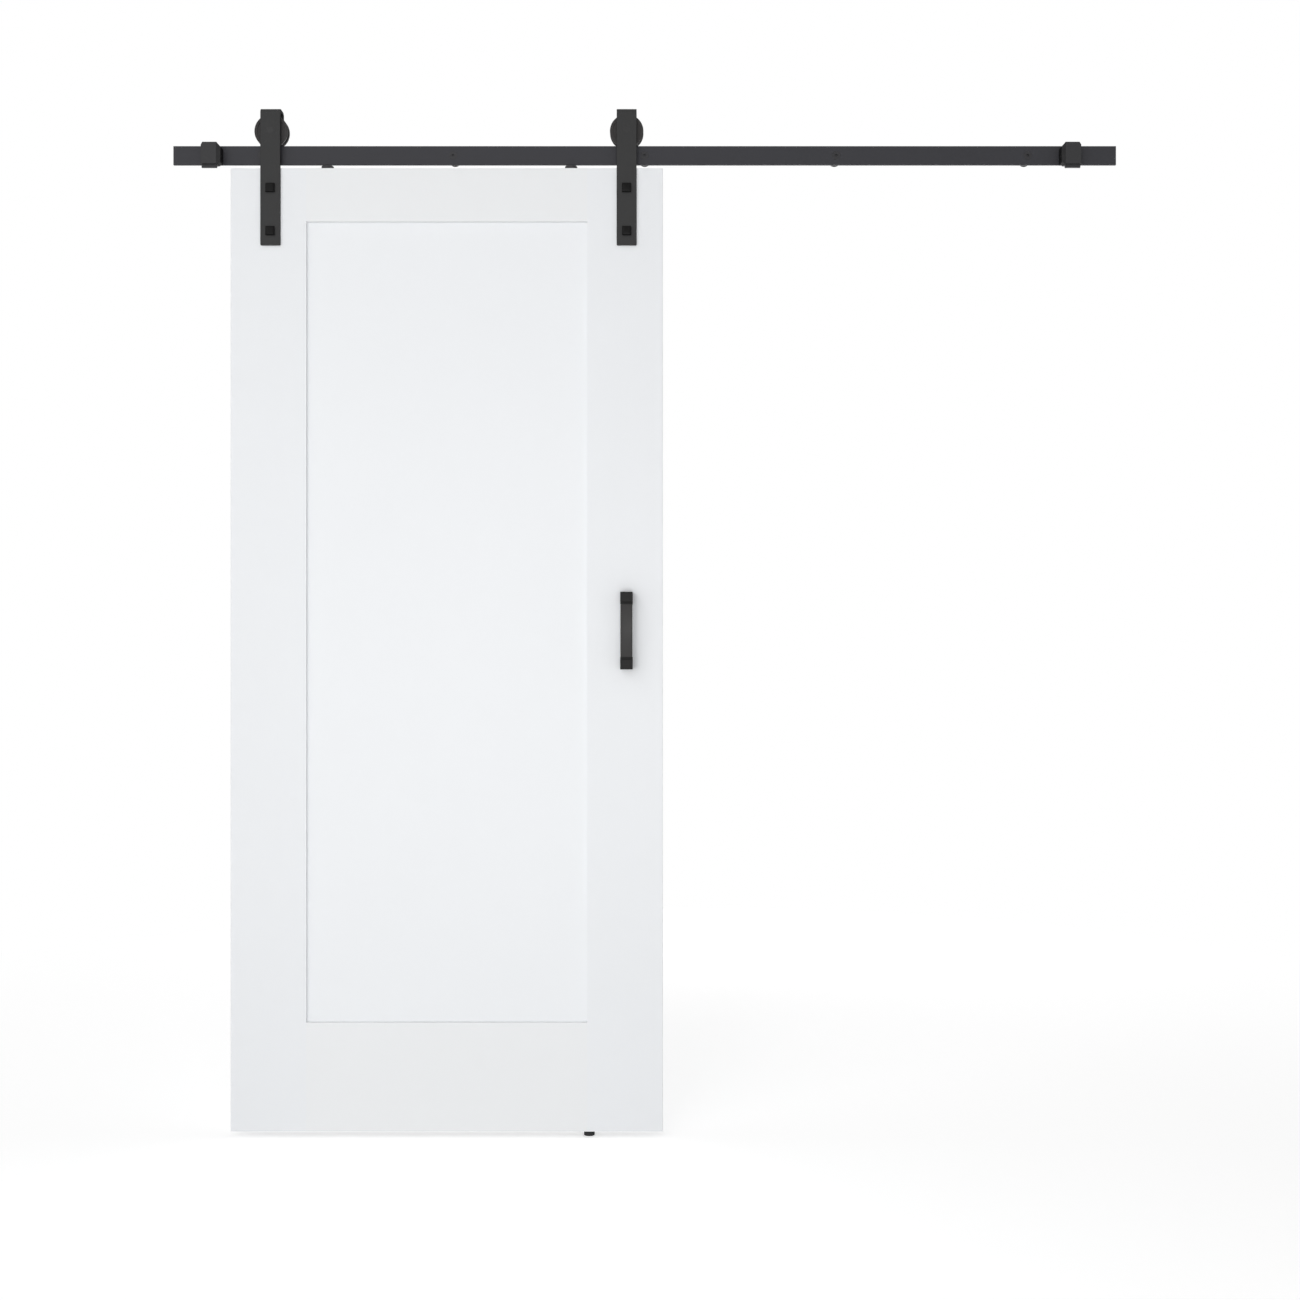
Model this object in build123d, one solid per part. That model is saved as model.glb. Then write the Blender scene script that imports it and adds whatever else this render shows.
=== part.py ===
from build123d import *
import os
from math import floor

# Sliding barn door on a flat steel track. All lengths are in millimetres.
# X runs along the track to the right, Y runs into the wall, Z is up.
# The origin is on the wall, where the middle track screw enters it.

# Track: a flat bar stood off the wall by round spacers, a flush screw through each into a wall stud
rail_length = 2000.0
rail_height = 40.0
rail_thickness = 6.0
rail_edge_radius = 0.8
stud_pitch = 406.4
screw_to_stop_room = 20.0
spacer_length = 32.0
spacer_diameter = 26.0
spacer_chamfer = 0.8
lag_head_diameter = 18.0
lag_shank_diameter = 8.4
lag_thread_diameter = 8.0
lag_thread_length = 20.0
lag_tip_length = 7.0
lag_drive_size = 6.0
lag_drive_depth = 3.0

# Stops: a block with a slot for the rail, set screws in a shorter jaw below it, a skirt that hides them from
# the front, and a rubber pad with a sloping top on its inner side
left_stop_inset = 80.5
right_stop_inset = 96.0
stop_width = 33.0
stop_front_depth = 22.0
stop_back_depth = 4.0
stop_top_wall = 2.2
stop_corner_width = 3.5
stop_corner_height = 6.0
stop_jaw_drop = 3.6
stop_jaw_step = 6.5
stop_skirt_drop = 10.5
stop_skirt_set_back = 5.5
stop_skirt_thickness = 5.0
stop_skirt_step = 0.5
stop_edge_radius = 0.8
set_screw_diameter = 5.0
set_screw_spacing = 14.0
set_screw_drive_size = 2.5
set_screw_drive_depth = 2.0
set_screw_recess = 0.4
bumper_thickness = 9.0
bumper_bottom_drop = 2.0
bumper_top_step = 0.5
bumper_slope_drop = 10.0
bumper_front_margin = 0.5
bumper_rail_gap = 1.0
bumper_edge_radius = 1.0
bumper_screw_diameter = 4.0
bumper_screw_head_diameter = 8.0
bumper_screw_head_height = 2.6
bumper_screw_recess = 2.0
bumper_screw_grip = 14.0
bumper_screw_drive_size = 2.5
bumper_screw_drive_depth = 1.6

# Wheels: grooved, moulded round a ball bearing, rolling on the rail's top edge
wheel_diameter = 71.0
wheel_width = 20.0
groove_depth = 6.0
groove_mouth_spread = 1.5
groove_side_room = 1.0
wheel_rim_radius = 1.0
wheel_dish_depth = 1.5
wheel_dish_rim = 6.0
wheel_hub_wall = 5.0
wheel_bearing_lip = 1.0
rolling_gap = 0.3
bearing_bore = 10.0
bearing_diameter = 26.0
bearing_width = 8.0
ball_diameter = 4.6
ball_count = 8
race_groove_room = 0.2
race_wall = 2.3
cage_wall = 1.4
cage_width = 5.4
shield_thickness = 0.4
shield_inset = 0.3

# Hangers: a bent strap over each wheel, bolted to the face of the door
strap_width = 42.0
strap_thickness = 5.0
strap_bend_radius = 4.0
strap_edge_radius = 0.6
strap_corner_radius = 2.0
strap_back_corner_radius = 6.0
strap_back_drop = 24.0
strap_door_overlap = 164.0
strap_wheel_gap = 5.5
wheel_side_gap = 3.0
axle_head_diameter = 15.0
axle_end_length = 1.0
axle_nut_size = 17.0
axle_nut_height = 8.0
axle_nut_collar_diameter = 15.0
axle_nut_collar_height = 2.0
bush_wall = 2.0
bolt_pitch = 91.0
bolt_end_margin = 30.0
bolt_diameter = 8.0
bolt_head_size = 19.0
bolt_head_height = 6.0
bolt_head_bevel = 1.5
bolt_engagement = 16.0
sleeve_diameter = 12.0
sleeve_length = 24.0
sleeve_flange_diameter = 20.0
sleeve_flange_height = 2.5
sleeve_drive_size = 5.0
sleeve_drive_depth = 2.0

# Door leaf: two stiles, two rails and a flat panel held in grooves, with dowelled corners
door_width = 914.4
door_height = 2038.0
door_thickness = 35.0
stile_width = 160.0
top_rail_height = 112.5
bottom_rail_height = 230.5
panel_thickness = 16.0
panel_groove_depth = 12.0
panel_edge_gap = 1.5
panel_side_gap = 0.1
door_edge_radius = 1.5
dowel_diameter = 12.0
dowel_length = 90.0
top_dowel_first = 50.0
top_dowel_pitch = 33.0
bottom_dowel_first = 70.0
bottom_dowel_pitch = 90.0
door_to_rail_gap = 10.0
strap_to_bumper_gap = 82.0
left_hanger_inset = 85.0
right_hanger_inset = 76.5

# Anti-jump discs: screwed on the top of the door just under the rail
disc_diameter = 26.0
disc_lift_gap = 3.0
disc_edge_chamfer = 0.8
disc_to_hanger = 118.0
disc_screw_diameter = 5.0
disc_screw_head_diameter = 9.6
disc_screw_length = 40.0

# Pull handle: a flat bar tenoned into two square posts, screwed from behind the door
handle_height = 1070.8
handle_length = 162.5
handle_projection = 40.0
post_width = 26.0
post_height = 26.0
post_rebate_height = 5.0
post_rebate_depth = 6.5
post_edge_radius = 0.8
bar_width = 25.0
bar_thickness = 10.0
bar_set_back = 1.5
bar_edge_radius = 1.2
bar_tenon_length = 6.0
bar_tenon_shoulder = 1.5
handle_screw_diameter = 6.0
handle_screw_grip = 20.0
handle_screw_head_diameter = 11.0
handle_screw_head_height = 3.4
handle_screw_head_radius = 0.8
handle_screw_drive_size = 4.0
handle_screw_drive_depth = 2.0
handle_washer_diameter = 16.0
handle_washer_thickness = 1.4

# Floor guide: a round base with a nylon roller on its spigot, running in a groove under the door
floor_gap = 11.5
guide_inset = 156.0
guide_base_diameter = 23.0
guide_base_height = 8.5
guide_base_chamfer = 1.0
guide_spigot_diameter = 8.0
guide_roller_diameter = 13.0
guide_roller_length = 19.0
guide_roller_end_gap = 0.3
guide_roller_chamfer = 0.6
guide_groove_room = 0.4
guide_groove_depth = 23.0
guide_screw_diameter = 5.0
guide_screw_thread_diameter = 4.4
guide_screw_head_diameter = 10.5
guide_screw_head_height = 2.6
guide_screw_floor_length = 30.0
guide_screw_tip_length = 6.0
guide_screw_drive_size = 3.0
guide_screw_drive_depth = 1.4

# Fits: room all round a bolt, a thread, a pressed seat, a running bore, a sunk head and the rail in a stop
hole_room = 0.3
thread_room = 0.05
seat_room = 0.02
running_room = 0.1
head_room = 0.1
slot_room = 0.2
overcut = 1.0

# Places along Y: the wall is at 0 and everything stands in front of it
rail_back = -spacer_length
rail_front = rail_back - rail_thickness
rail_middle = (rail_front + rail_back) / 2
strap_gap = wheel_width + 2 * wheel_side_gap
strap_front_inside = rail_middle - strap_gap / 2
strap_back_inside = rail_middle + strap_gap / 2
strap_front = strap_front_inside - strap_thickness
strap_back = strap_back_inside + strap_thickness
door_front = strap_front_inside
door_back = door_front + door_thickness
door_middle = (door_front + door_back) / 2
stop_front = rail_front - stop_front_depth
stop_back = rail_back + stop_back_depth

# Places along Z: the rail's middle line is at 0
rail_top = rail_height / 2
rail_bottom = -rail_height / 2
tread_radius = wheel_diameter / 2 - groove_depth
axle_height = rail_top + rolling_gap + tread_radius
strap_top = axle_height + wheel_diameter / 2 + strap_wheel_gap + strap_thickness
door_top = rail_bottom - door_to_rail_gap
door_bottom = door_top - door_height
strap_bottom = door_top - strap_door_overlap
lower_bolt_height = strap_bottom + bolt_end_margin
bolt_heights = [lower_bolt_height, lower_bolt_height + bolt_pitch]
opening_top = door_top - top_rail_height
opening_bottom = door_bottom + bottom_rail_height
floor_height = door_bottom - floor_gap
handle_middle = floor_height + handle_height

# Places along X: the stops sit on the rail, and the door rests a set gap from the left one
left_stop_x = -rail_length / 2 + left_stop_inset
right_stop_x = rail_length / 2 - right_stop_inset
left_bumper_face = left_stop_x + stop_width / 2 + bumper_thickness
left_hanger_x = left_bumper_face + strap_to_bumper_gap + strap_width / 2
door_left = left_hanger_x - left_hanger_inset
door_right = door_left + door_width
right_hanger_x = door_right - right_hanger_inset
opening_left = door_left + stile_width
opening_right = door_right - stile_width
disc_places = [left_hanger_x + disc_to_hanger, right_hanger_x - disc_to_hanger]
guide_x = door_right - guide_inset
handle_x = right_hanger_x

# Track screws: one at the middle and as many each side as fit between the stops
stop_reach = max(left_stop_inset, right_stop_inset) + stop_width / 2 + bumper_thickness
outer_screw_limit = rail_length / 2 - stop_reach - spacer_diameter / 2 - screw_to_stop_room
screws_each_side = floor(outer_screw_limit / stud_pitch)
screw_places = [stud_pitch * step for step in range(-screws_each_side, screws_each_side + 1)]

ON_BASE = (Align.CENTER, Align.CENTER, Align.MIN)


def block(x_range, y_range, z_range):
    """A box between two limits on each axis."""
    sizes = [high - low for low, high in (x_range, y_range, z_range)]
    middle = [(high + low) / 2 for low, high in (x_range, y_range, z_range)]
    return Pos(*middle) * Box(*sizes)


def along(start, end):
    """The plane at start that faces end, and the distance between them."""
    way = Vector(*end) - Vector(*start)
    across = (0, 1, 0) if abs(way.X) > abs(way.Y) + abs(way.Z) else (1, 0, 0)
    return Plane(start, x_dir=across, z_dir=way), way.length


def rod(diameter, start, end):
    """A round bar from start to end."""
    plane, length = along(start, end)
    return plane * Cylinder(diameter / 2, length, align=ON_BASE)


def taper(start_diameter, end_diameter, start, end):
    """A cone from start to end."""
    plane, length = along(start, end)
    return plane * Cone(start_diameter / 2, end_diameter / 2, length, align=ON_BASE)


def tube(diameter, bore, start, end):
    """A round bar with a bore right through."""
    plane, length = along(start, end)
    drill = Pos(0, 0, -overcut) * Cylinder(bore / 2, length + 2 * overcut, align=ON_BASE)
    return plane * (Cylinder(diameter / 2, length, align=ON_BASE) - drill)


def hexagon(across_flats, start, end):
    """A six-sided bar from start to end."""
    plane, length = along(start, end)
    return plane * extrude(RegularPolygon(across_flats / 2, 6, major_radius=False), length)


def drive_socket(size, depth, face, inward):
    """A hexagon key socket, cut from just outside a head's face to its depth."""
    way = Vector(*inward).normalized()
    start = Vector(*face) - way * overcut
    return hexagon(size, tuple(start), tuple(Vector(*face) + way * depth))


def save(name, *solids):
    """Write one node, as a single solid or as a group of like solids."""
    shape = solids[0] if len(solids) == 1 else Compound(children=list(solids))
    export_step(shape, f"parts/{name}.step")


def countersunk_depth(head_diameter, shank_diameter):
    """Height of a ninety degree head."""
    return (head_diameter - shank_diameter) / 2


def make_rail():
    """Flat bar with a countersunk hole at every wall stud."""
    ends = (-rail_length / 2, rail_length / 2)
    rail = block(ends, (rail_front, rail_back), (rail_bottom, rail_top))
    rail = fillet(rail.edges().filter_by(Axis.X), rail_edge_radius)
    hole = lag_shank_diameter + 2 * hole_room
    mouth = lag_head_diameter + 2 * head_room
    sink = countersunk_depth(mouth, hole)
    for x in screw_places:
        rail -= rod(hole, (x, rail_front - overcut, 0), (x, rail_back + overcut, 0))
        rail -= taper(mouth + 2 * overcut, hole, (x, rail_front - overcut, 0), (x, rail_front + sink, 0))
    return rail


def make_spacer(x):
    """Round stand-off between the rail and the wall."""
    spacer = tube(spacer_diameter, lag_shank_diameter + 2 * hole_room, (x, rail_back, 0), (x, 0, 0))
    rims = spacer.edges().filter_by(GeomType.CIRCLE).group_by(SortBy.RADIUS)[-1]
    return chamfer(rims, spacer_chamfer)


def make_lag_screw(x):
    """Flat-headed wall screw, its thread standing out behind the spacer."""
    sink = countersunk_depth(lag_head_diameter, lag_shank_diameter)
    screw = taper(lag_head_diameter, lag_shank_diameter, (x, rail_front, 0), (x, rail_front + sink, 0))
    screw += rod(lag_shank_diameter, (x, rail_front + sink, 0), (x, 0, 0))
    screw += rod(lag_thread_diameter, (x, 0, 0), (x, lag_thread_length, 0))
    tip = lag_thread_length + lag_tip_length
    screw += taper(lag_thread_diameter, 0, (x, lag_thread_length, 0), (x, tip, 0))
    return screw - drive_socket(lag_drive_size, lag_drive_depth, (x, rail_front, 0), (0, 1, 0))


def upright_prism(corners, y_range):
    """A flat outline of (x, z) corners, made solid between two limits along Y."""
    outline = Polyline(*[(x, y_range[0], z) for x, z in corners], close=True)
    return extrude(make_face(outline), y_range[1] - y_range[0], dir=(0, 1, 0))


def make_stop(name, x, inward):
    """Rail stop with its set screws, rubber pad and pad screw; inward is +1 or -1 along X."""
    half = stop_width / 2
    outer = x - inward * half
    seat = x + inward * half
    jaw_bottom = rail_bottom - stop_jaw_drop
    top = rail_top + stop_top_wall
    outline = [
        (outer, jaw_bottom),
        (seat, jaw_bottom),
        (seat, top),
        (outer + inward * stop_corner_width, top),
        (outer, top - stop_corner_height),
    ]
    body = upright_prism(outline, (stop_front, stop_back))
    body = fillet(body.faces().sort_by(Axis.Y)[0].edges(), stop_edge_radius)
    skirt_front = stop_front + stop_skirt_set_back
    skirt_sides = (x - half + stop_skirt_step, x + half - stop_skirt_step)
    skirt_y = (skirt_front, skirt_front + stop_skirt_thickness)
    body += block(skirt_sides, skirt_y, (rail_bottom - stop_skirt_drop, jaw_bottom))
    body -= block(
        (x - half - overcut, x + half + overcut),
        (rail_front - slot_room, rail_back + slot_room),
        (rail_bottom - slot_room, rail_top + slot_room),
    )
    jaw_end = seat - inward * stop_jaw_step
    body -= block(
        sorted((jaw_end, seat + inward * overcut)),
        (rail_front - slot_room, stop_back + overcut),
        (jaw_bottom - overcut, rail_bottom),
    )

    screws = []
    jaw_middle = (outer + jaw_end) / 2
    for place in (jaw_middle - set_screw_spacing / 2, jaw_middle + set_screw_spacing / 2):
        bottom = (place, rail_middle, jaw_bottom + set_screw_recess)
        body -= rod(
            set_screw_diameter + 2 * thread_room,
            (place, rail_middle, jaw_bottom - overcut),
            (place, rail_middle, rail_bottom),
        )
        screw = rod(set_screw_diameter, bottom, (place, rail_middle, rail_bottom))
        screws.append(screw - drive_socket(set_screw_drive_size, set_screw_drive_depth, bottom, (0, 0, 1)))

    strike = seat + inward * bumper_thickness
    pad_y = (stop_front + bumper_front_margin, rail_front - bumper_rail_gap)
    pad_low = rail_bottom - bumper_bottom_drop
    pad_high = top - bumper_top_step
    pad_shoulder = pad_high - bumper_slope_drop
    pad_middle_y = sum(pad_y) / 2
    pad_middle_z = (pad_low + pad_shoulder) / 2
    outline = [(seat, pad_low), (strike, pad_low), (strike, pad_shoulder), (seat, pad_high)]
    pad = upright_prism(outline, pad_y)
    pad = fillet(pad.faces().sort_by(Axis.X)[-1 if inward > 0 else 0].edges(), bumper_edge_radius)

    head_outer = strike - inward * bumper_screw_recess
    head_inner = head_outer - inward * bumper_screw_head_height
    screw_end = seat - inward * bumper_screw_grip
    pad -= rod(
        bumper_screw_head_diameter + 2 * hole_room,
        (strike + inward * overcut, pad_middle_y, pad_middle_z),
        (head_inner, pad_middle_y, pad_middle_z),
    )
    pad -= rod(
        bumper_screw_diameter + 2 * hole_room,
        (strike, pad_middle_y, pad_middle_z),
        (seat - inward * overcut, pad_middle_y, pad_middle_z),
    )
    body -= rod(
        bumper_screw_diameter + 2 * thread_room,
        (seat + inward * overcut, pad_middle_y, pad_middle_z),
        (screw_end - inward * overcut, pad_middle_y, pad_middle_z),
    )
    pad_screw = rod(
        bumper_screw_head_diameter,
        (head_outer, pad_middle_y, pad_middle_z),
        (head_inner, pad_middle_y, pad_middle_z),
    )
    pad_screw += rod(
        bumper_screw_diameter,
        (head_inner, pad_middle_y, pad_middle_z),
        (screw_end, pad_middle_y, pad_middle_z),
    )
    pad_screw -= drive_socket(
        bumper_screw_drive_size,
        bumper_screw_drive_depth,
        (head_outer, pad_middle_y, pad_middle_z),
        (-inward, 0, 0),
    )

    save(f"{name}_stop_body", body)
    save(f"{name}_stop_set_screws", *screws)
    save(f"{name}_stop_bumper", pad)
    save(f"{name}_stop_bumper_screw", pad_screw)


def make_strap(x):
    """Flat bar bent over the wheel, long leg on the door's face and short leg behind the wheel."""
    sides = (x - strap_width / 2, x + strap_width / 2)
    wide = (sides[0] - overcut, sides[1] + overcut)
    back_bottom = axle_height - strap_back_drop
    outside = block(sides, (strap_front, strap_back), (strap_bottom, strap_top))
    top_bends = outside.edges().filter_by(Axis.X).group_by(Axis.Z)[-1]
    outside = fillet(top_bends, strap_bend_radius + strap_thickness)
    under_top = (strap_bottom - overcut, strap_top - strap_thickness)
    inside = block(wide, (strap_front_inside, strap_back_inside), under_top)
    top_bends = inside.edges().filter_by(Axis.X).group_by(Axis.Z)[-1]
    inside = fillet(top_bends, strap_bend_radius)
    cut_z = (strap_bottom - overcut, back_bottom)
    below_back = block(wide, (strap_front_inside, strap_back + overcut), cut_z)
    strap = outside - inside - below_back
    for end, radius in ((strap_bottom, strap_corner_radius), (back_bottom, strap_back_corner_radius)):
        corners = strap.edges().filter_by(Axis.Y).filter_by_position(Axis.Z, end - overcut, end + overcut)
        strap = fillet(corners, radius)
    flanks = strap.faces().sort_by(Axis.X)
    strap = fillet(flanks[0].edges() + flanks[-1].edges(), strap_edge_radius)

    hole = bearing_bore + 2 * running_room
    mouth = axle_head_diameter + 2 * head_room
    sink = countersunk_depth(mouth, hole)
    strap -= rod(hole, (x, strap_front - overcut, axle_height), (x, strap_back + overcut, axle_height))
    strap -= taper(
        mouth + 2 * overcut,
        hole,
        (x, strap_front - overcut, axle_height),
        (x, strap_front + sink, axle_height),
    )
    for z in bolt_heights:
        strap -= rod(
            bolt_diameter + 2 * hole_room,
            (x, strap_front - overcut, z),
            (x, strap_front_inside + overcut, z),
        )
    return strap


def make_axle(x):
    """Axle pin: its head is flush in the strap, its thread carries the lock nut behind."""
    sink = countersunk_depth(axle_head_diameter, bearing_bore)
    end = strap_back + axle_nut_height + axle_nut_collar_height + axle_end_length
    axle = taper(
        axle_head_diameter,
        bearing_bore,
        (x, strap_front, axle_height),
        (x, strap_front + sink, axle_height),
    )
    return axle + rod(bearing_bore, (x, strap_front + sink, axle_height), (x, end, axle_height))


def make_axle_nut(x):
    """Lock nut behind the strap, a hexagon with a round collar."""
    start = (x, strap_back, axle_height)
    shoulder = (x, strap_back + axle_nut_height, axle_height)
    end = (x, strap_back + axle_nut_height + axle_nut_collar_height, axle_height)
    nut = hexagon(axle_nut_size, start, shoulder) + rod(axle_nut_collar_diameter, shoulder, end)
    drill = (x, strap_back - overcut, axle_height), (x, end[1] + overcut, axle_height)
    return nut - rod(bearing_bore + 2 * thread_room, *drill)


def make_bushes(x):
    """Two plain bushes that hold the bearing in the middle of the strap."""
    outside = bearing_bore + 2 * bush_wall
    bore = bearing_bore + 2 * running_room
    race_front = rail_middle - bearing_width / 2
    race_back = rail_middle + bearing_width / 2
    spans = [(strap_front_inside, race_front), (race_back, strap_back_inside)]
    return [tube(outside, bore, (x, low, axle_height), (x, high, axle_height)) for low, high in spans]


def make_strap_bolts(x):
    """Two square-headed bolts through the strap into the door."""
    bolts = []
    tip = door_back - sleeve_length + bolt_engagement
    for z in bolt_heights:
        half = bolt_head_size / 2
        head_y = (strap_front - bolt_head_height, strap_front)
        head = block((x - half, x + half), head_y, (z - half, z + half))
        head = chamfer(head.faces().sort_by(Axis.Y)[0].edges(), bolt_head_bevel)
        bolts.append(head + rod(bolt_diameter, (x, strap_front, z), (x, tip, z)))
    return bolts


def make_sleeve_nuts(x):
    """Flanged sleeve nuts let into the back of the door, one for each strap bolt."""
    nuts = []
    front = door_back - sleeve_length
    flange = door_back + sleeve_flange_height
    bore_end = front + bolt_engagement + overcut
    for z in bolt_heights:
        nut = rod(sleeve_diameter, (x, front, z), (x, door_back, z))
        nut += rod(sleeve_flange_diameter, (x, door_back, z), (x, flange, z))
        nut -= rod(bolt_diameter + 2 * thread_room, (x, front - overcut, z), (x, bore_end, z))
        nuts.append(nut - drive_socket(sleeve_drive_size, sleeve_drive_depth, (x, flange, z), (0, -1, 0)))
    return nuts


def make_wheel(x):
    """Wheel with a groove for the rail and a seat moulded round the bearing."""
    groove_floor = rail_thickness + 2 * groove_side_room
    groove_mouth = groove_floor + 2 * groove_mouth_spread
    rim = wheel_diameter / 2
    body = Cylinder(rim, wheel_width)
    body = fillet(body.edges().filter_by(GeomType.CIRCLE), wheel_rim_radius)
    slope = groove_mouth_spread / groove_depth
    outer = groove_mouth / 2 + slope * overcut
    section = Polyline(
        (tread_radius, 0, -groove_floor / 2),
        (rim + overcut, 0, -outer),
        (rim + overcut, 0, outer),
        (tread_radius, 0, groove_floor / 2),
        close=True,
    )
    body -= revolve(make_face(section), Axis.Z)
    bore = bearing_diameter - 2 * wheel_bearing_lip
    body -= Cylinder(bore / 2, wheel_width + 2 * overcut)
    body -= Cylinder(bearing_diameter / 2 + seat_room, bearing_width + 2 * seat_room)
    dish_inner = bearing_diameter / 2 + wheel_hub_wall
    dish_outer = rim - wheel_dish_rim
    dish = Cylinder(dish_outer, wheel_dish_depth) - Cylinder(dish_inner, wheel_dish_depth + overcut)
    for side in (-1, 1):
        body -= Pos(0, 0, side * (wheel_width - wheel_dish_depth) / 2) * dish
    return Pos(x, rail_middle, axle_height) * Rot(90, 0, 0) * body


def make_bearing(x):
    """Deep groove ball bearing: inner race, outer race, shields, balls and cage."""
    place = Pos(x, rail_middle, axle_height) * Rot(90, 0, 0)
    pitch = (bearing_bore + bearing_diameter) / 4
    track = Torus(pitch, ball_diameter / 2 + race_groove_room)
    inner_out = bearing_bore / 2 + race_wall
    outer_in = bearing_diameter / 2 - race_wall
    axle_bore = Cylinder(bearing_bore / 2 + seat_room, bearing_width + overcut)
    inner = Cylinder(inner_out, bearing_width) - axle_bore
    outer = Cylinder(bearing_diameter / 2, bearing_width) - Cylinder(outer_in, bearing_width + overcut)
    shield = Cylinder(outer_in - seat_room, shield_thickness)
    shield -= Cylinder(inner_out + hole_room, shield_thickness + overcut)
    shield_middle = bearing_width / 2 - shield_inset - shield_thickness / 2
    ball = Pos(pitch, 0, 0) * Sphere(ball_diameter / 2)
    pocket = rod(ball_diameter + 2 * race_groove_room, (pitch - cage_wall, 0, 0), (pitch + cage_wall, 0, 0))
    cage = Cylinder(pitch + cage_wall / 2, cage_width) - Cylinder(pitch - cage_wall / 2, cage_width + overcut)
    turns = [Rot(0, 0, 360 * step / ball_count) for step in range(ball_count)]
    for turn in turns:
        cage -= turn * pocket
    return {
        "inner_race": [place * (inner - track)],
        "outer_race": [place * (outer - track)],
        "shields": [place * Pos(0, 0, side * shield_middle) * shield for side in (-1, 1)],
        "balls": [place * turn * ball for turn in turns],
        "cage": [place * cage],
    }


def make_hanger(name, x):
    """One hanger with its wheel, bearing and fasteners."""
    save(f"{name}_hanger_strap", make_strap(x))
    save(f"{name}_hanger_axle", make_axle(x))
    save(f"{name}_hanger_axle_nut", make_axle_nut(x))
    save(f"{name}_hanger_bushes", *make_bushes(x))
    save(f"{name}_hanger_bolts", *make_strap_bolts(x))
    save(f"{name}_hanger_sleeve_nuts", *make_sleeve_nuts(x))
    save(f"{name}_wheel_rim", make_wheel(x))
    for piece, solids in make_bearing(x).items():
        save(f"{name}_bearing_{piece}", *solids)


def door_groove():
    """The slot along the whole bottom edge of the door that the floor guide's roller runs in."""
    half = guide_roller_diameter / 2 + guide_groove_room
    return block(
        (door_left - overcut, door_right + overcut),
        (door_middle - half, door_middle + half),
        (door_bottom - overcut, door_bottom + guide_groove_depth),
    )


def panel_slot(x_range, z_range):
    """A groove in the middle of the door's thickness that takes the panel's edge or a rail's tongue."""
    half = panel_thickness / 2 + panel_side_gap
    return block(x_range, (door_middle - half, door_middle + half), z_range)


def dowel_heights():
    """Heights of the dowels in the top rail and in the bottom rail."""
    top = [door_top - top_dowel_first, door_top - top_dowel_first - top_dowel_pitch]
    bottom = [door_bottom + bottom_dowel_first, door_bottom + bottom_dowel_first + bottom_dowel_pitch]
    return {"top": top, "bottom": bottom}


def dowel(shoulder, z, diameter, length):
    """A dowel laid across the joint between a stile and a rail."""
    half = length / 2
    return rod(diameter, (shoulder - half, door_middle, z), (shoulder + half, door_middle, z))


def dowel_holes(shoulder, heights):
    """The holes for the dowels of one joint."""
    size = dowel_diameter + 2 * running_room
    return [dowel(shoulder, z, size, dowel_length + 2 * overcut) for z in heights]


def hanger_holes(x):
    """Bolt clearance from the front and sleeve seats from the back."""
    cuts = []
    seat = door_back - sleeve_length - overcut
    for z in bolt_heights:
        cuts.append(rod(bolt_diameter + 2 * hole_room, (x, door_front - overcut, z), (x, door_back, z)))
        cuts.append(rod(sleeve_diameter + 2 * running_room, (x, seat, z), (x, door_back + overcut, z)))
    return cuts


def post_heights():
    """Middle heights of the handle's two posts."""
    reach = (handle_length - post_height) / 2
    return {"upper": handle_middle + reach, "lower": handle_middle - reach}


def make_stile(outer, shoulder, hanger_x):
    """An upright of the door frame, grooved on its inner edge; shoulder is where the rails meet it."""
    x_range = (min(outer, shoulder), max(outer, shoulder))
    stile = block(x_range, (door_front, door_back), (door_bottom, door_top))
    edges = stile.edges().filter_by(Axis.Z).filter_by_position(Axis.X, outer - overcut, outer + overcut)
    stile = fillet(edges, door_edge_radius)
    outward = 1 if outer > shoulder else -1
    slot_ends = sorted((shoulder - outward * overcut, shoulder + outward * panel_groove_depth))
    stile -= panel_slot(slot_ends, (door_bottom - overcut, door_top + overcut))
    for heights in dowel_heights().values():
        for hole in dowel_holes(shoulder, heights):
            stile -= hole
    for hole in hanger_holes(hanger_x):
        stile -= hole
    return stile - door_groove()


def make_rail_piece(z_range, groove_z, heights):
    """A cross rail of the door frame, tongued at both ends and grooved along the panel's edge."""
    tongue = panel_groove_depth - panel_edge_gap
    piece = block((opening_left, opening_right), (door_front, door_back), z_range)
    half = panel_thickness / 2
    ends = (opening_left - tongue, opening_right + tongue)
    piece += block(ends, (door_middle - half, door_middle + half), z_range)
    piece -= panel_slot((ends[0] - overcut, ends[1] + overcut), groove_z)
    for shoulder in (opening_left, opening_right):
        for hole in dowel_holes(shoulder, heights):
            piece -= hole
    return piece


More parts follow.
